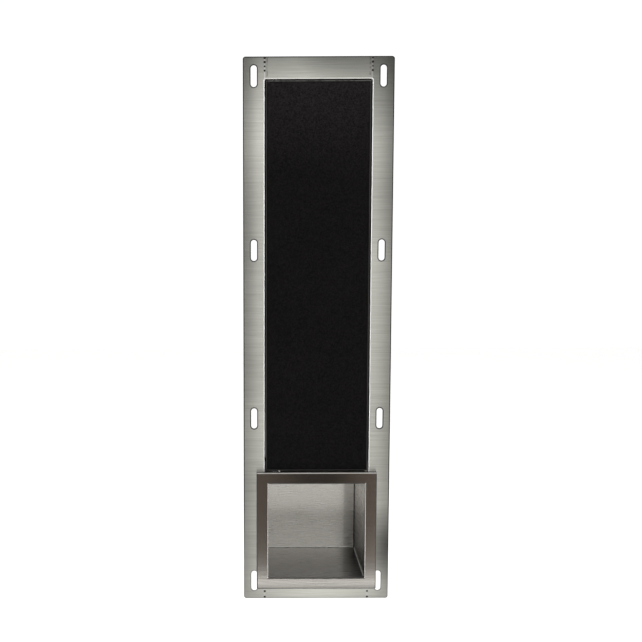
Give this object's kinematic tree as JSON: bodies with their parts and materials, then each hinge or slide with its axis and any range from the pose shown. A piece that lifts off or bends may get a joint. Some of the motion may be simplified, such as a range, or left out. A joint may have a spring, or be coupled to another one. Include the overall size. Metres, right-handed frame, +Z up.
{
  "type": "recessed wall dispenser",
  "caption": "Recessed wall cabinet with a slotted mounting flange, a tall black hinged hatch and an open square niche at the bottom.",
  "frame": {"origin": "middle of the flange's rear plane, which lies on the wall", "axes": "+X right seen from the room, +Y into the wall, +Z up"},
  "size_m": [0.17, 0.1172, 0.628],
  "materials": {
    "flange_steel": "horizontal fine brushing",
    "weld_steel": "heat-tinted weld",
    "inner_steel": "mill finish",
    "black_rubber": "matte",
    "screw_steel": "satin",
    "white_plastic": "matte moulded",
    "grey_plastic": "matte moulded",
    "spring_steel": "bright spring steel",
    "tray_steel": "satin",
    "black_board": "matte with a very fine grain",
    "tape": "foam tape",
    "stud_steel": "turned",
    "strike_steel": "zinc plated",
    "rivet_steel": "satin",
    "magnet": "nickel plated",
    "niche_steel": "fine brushing"
  },
  "bodies": {
    "casing": {"casing_shell": "flange_steel", "top_cap": "flange_steel", "bottom_cap": "flange_steel", "seam_welds": "weld_steel", "right_stop_rail": "inner_steel", "bump_stops": "black_rubber", "lower_pivot_bracket": "inner_steel", "bracket_screws": "screw_steel", "clinch_nuts": "screw_steel", "upper_pivot_bush": "white_plastic", "lower_pivot_bush": "white_plastic", "latch_housing": "grey_plastic", "latch_end_plug": "grey_plastic", "latch_spring": "spring_steel", "latch_screws": "screw_steel"},
    "hatch": {"hatch_tray": "tray_steel", "tile_board": "black_board", "bonding_tapes": "tape", "upper_pivot_stud": "stud_steel", "lower_pivot_stud": "stud_steel", "strike_plate": "strike_steel", "strike_rivets": "rivet_steel"},
    "latch_slider": {"latch_plunger": "white_plastic", "latch_magnet": "magnet"},
    "niche_insert": {"niche_wrap": "niche_steel", "niche_header": "niche_steel", "niche_back": "niche_steel", "niche_clips": "spring_steel", "clip_rivets": "rivet_steel"}
  },
  "joints": [
    {"name": "hatch_swing", "type": "hinge", "parent": "casing", "child": "hatch", "pos_m": [-0.049, 0.0034, 0], "axis": [0, 0, -1], "range_deg": [0, 100]},
    {"name": "latch_slide", "type": "slide", "parent": "casing", "child": "latch_slider", "axis": [0, -1, 0], "range_m": [0, 0.01]},
    {"name": "insert_slide", "type": "slide", "parent": "casing", "child": "niche_insert", "axis": [0, -1, 0], "range_m": [0, 0.125]}
  ],
  "couplings": [
    {"joint": "latch_slide", "follows": "hatch_swing", "m_per_rad": 0.0057}
  ]
}
